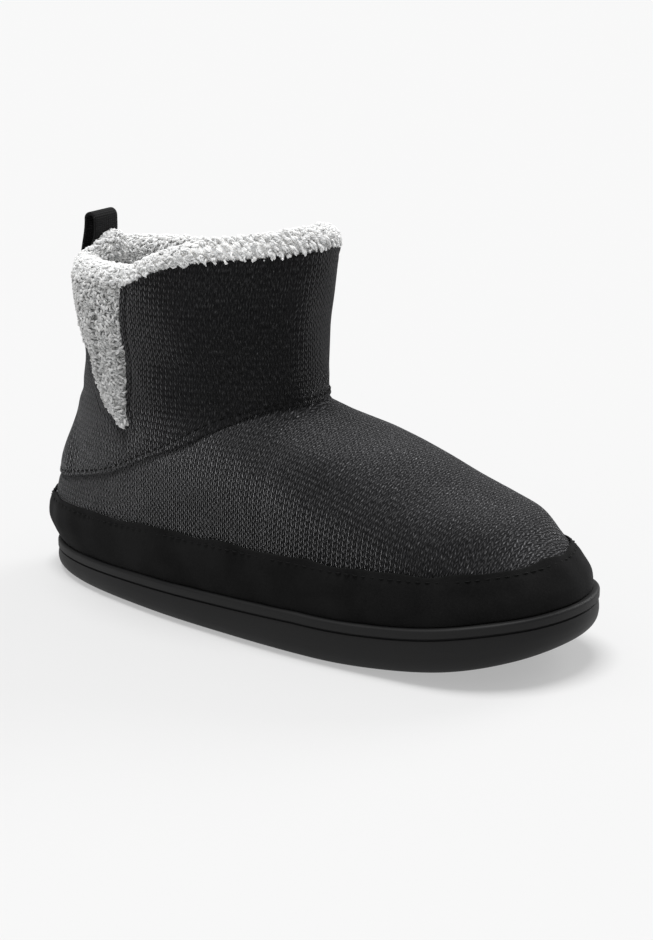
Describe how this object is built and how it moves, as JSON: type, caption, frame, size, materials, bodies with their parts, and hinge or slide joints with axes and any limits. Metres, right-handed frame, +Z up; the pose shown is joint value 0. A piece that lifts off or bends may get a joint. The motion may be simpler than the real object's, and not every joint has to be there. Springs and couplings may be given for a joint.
{
  "type": "bootie slipper",
  "caption": "Right-foot bootie slipper: knitted upper with an ankle notch, suede mudguard, rubber cup sole, fleece lining rolled at the collar and a pull loop at the heel",
  "frame": {"origin": "on the floor under the flat middle of the outsole, 116 mm ahead of the heel's back", "axes": "+X heel to toe, +Y towards the inner side of a right foot, +Z up"},
  "size_m": [0.2943, 0.1054, 0.1843],
  "materials": {
    "outsole_rubber": "matt moulded black rubber",
    "charcoal_knit": "ribbed charcoal knit",
    "black_microsuede": "brushed black microsuede",
    "grey_fleece": "curly pale grey sherpa fleece",
    "insole_fleece": "pale grey fleece over foam",
    "black_webbing": "woven black tape"
  },
  "bodies": {
    "root": {"outsole": "outsole_rubber", "insole": "insole_fleece", "upper": "charcoal_knit", "mudguard": "black_microsuede", "fleece_lining": "grey_fleece", "pull_loop": "black_webbing"}
  },
  "joints": []
}
